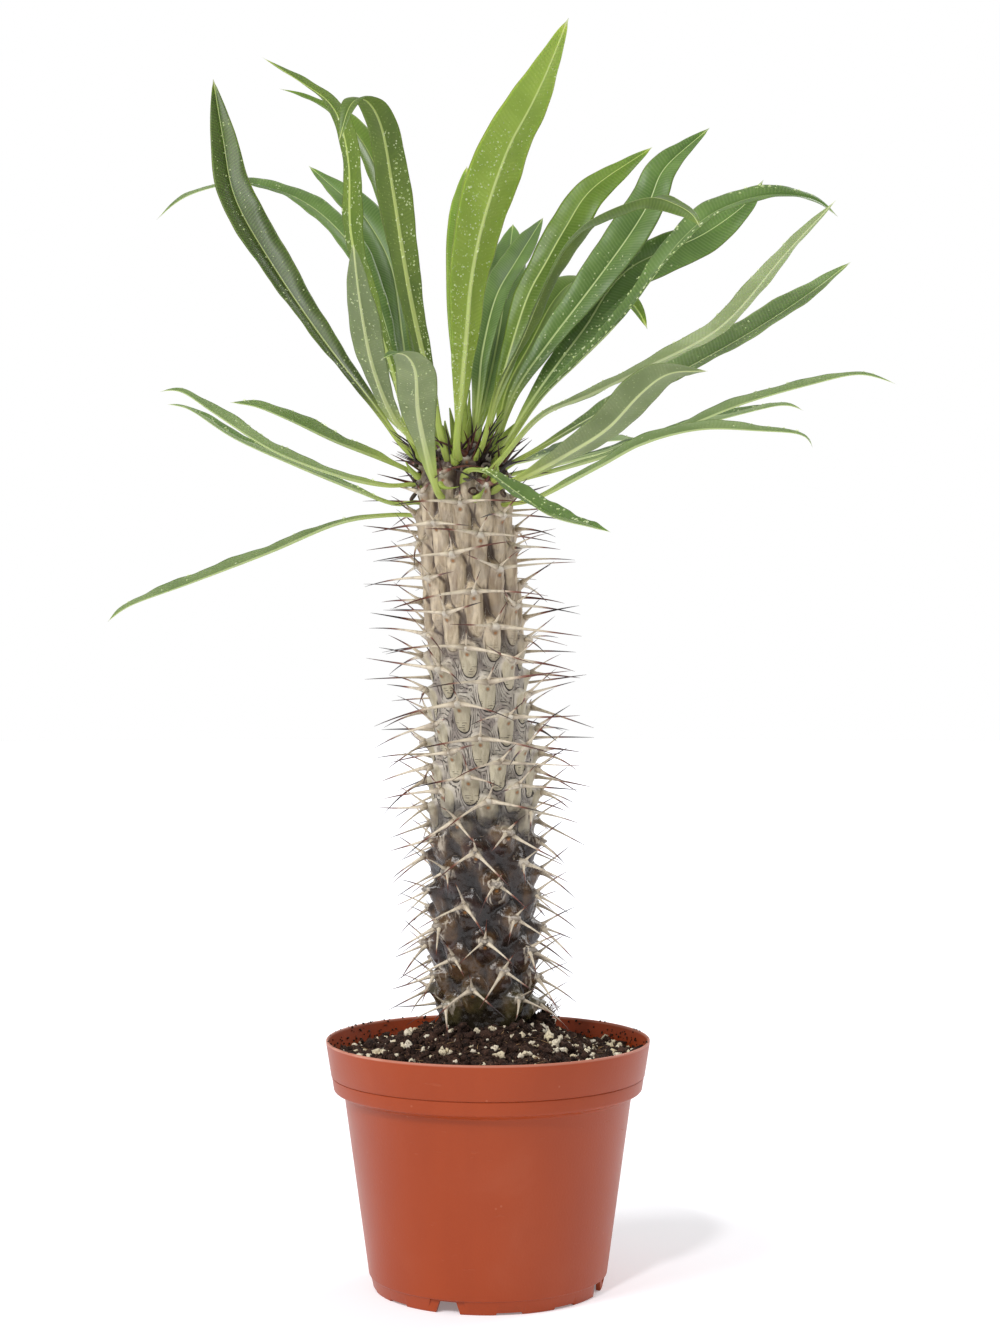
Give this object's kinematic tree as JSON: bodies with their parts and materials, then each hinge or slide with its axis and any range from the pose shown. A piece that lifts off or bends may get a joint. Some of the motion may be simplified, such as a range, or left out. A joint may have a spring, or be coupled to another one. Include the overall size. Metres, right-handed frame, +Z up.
{
  "type": "potted spiny succulent",
  "caption": "Spiny succulent with one upright trunk and a crown of long narrow leaves, growing in a round tapered nursery pot.",
  "frame": {"origin": "on the floor under the middle of the plant's overall box, which is the pot's axis", "axes": "+Z up along the trunk, -Y towards the front, +X to the viewer's right"},
  "size_m": [0.418, 0.32, 0.655],
  "materials": {
    "pot": "satin terracotta-coloured moulded plastic",
    "soil": "dark moist potting mix, rough and crumbly",
    "trunk": "grey-beige wrinkled succulent bark, darker and glossier at the foot",
    "leaf": "smooth green leaf, semi-gloss above and pale below",
    "perlite": "matt white perlite grain"
  },
  "bodies": {
    "root": {"pot": "pot", "soil": "soil", "trunk": "trunk", "leaf_01": "leaf", "leaf_02": "leaf", "leaf_03": "leaf", "leaf_04": "leaf", "leaf_05": "leaf", "leaf_06": "leaf", "leaf_07": "leaf", "leaf_08": "leaf", "leaf_09": "leaf", "leaf_10": "leaf", "leaf_11": "leaf", "leaf_12": "leaf", "leaf_13": "leaf", "leaf_14": "leaf", "leaf_15": "leaf", "leaf_16": "leaf", "leaf_17": "leaf", "leaf_18": "leaf", "leaf_19": "leaf", "leaf_20": "leaf", "leaf_21": "leaf", "leaf_22": "leaf", "leaf_23": "leaf", "leaf_24": "leaf", "leaf_25": "leaf", "leaf_26": "leaf", "leaf_27": "leaf", "leaf_28": "leaf", "leaf_29": "leaf", "leaf_30": "leaf", "perlite_01": "perlite", "perlite_02": "perlite", "perlite_03": "perlite", "perlite_04": "perlite", "perlite_05": "perlite", "perlite_06": "perlite", "perlite_07": "perlite", "perlite_08": "perlite", "perlite_09": "perlite", "perlite_10": "perlite", "perlite_11": "perlite", "perlite_12": "perlite"}
  },
  "joints": []
}
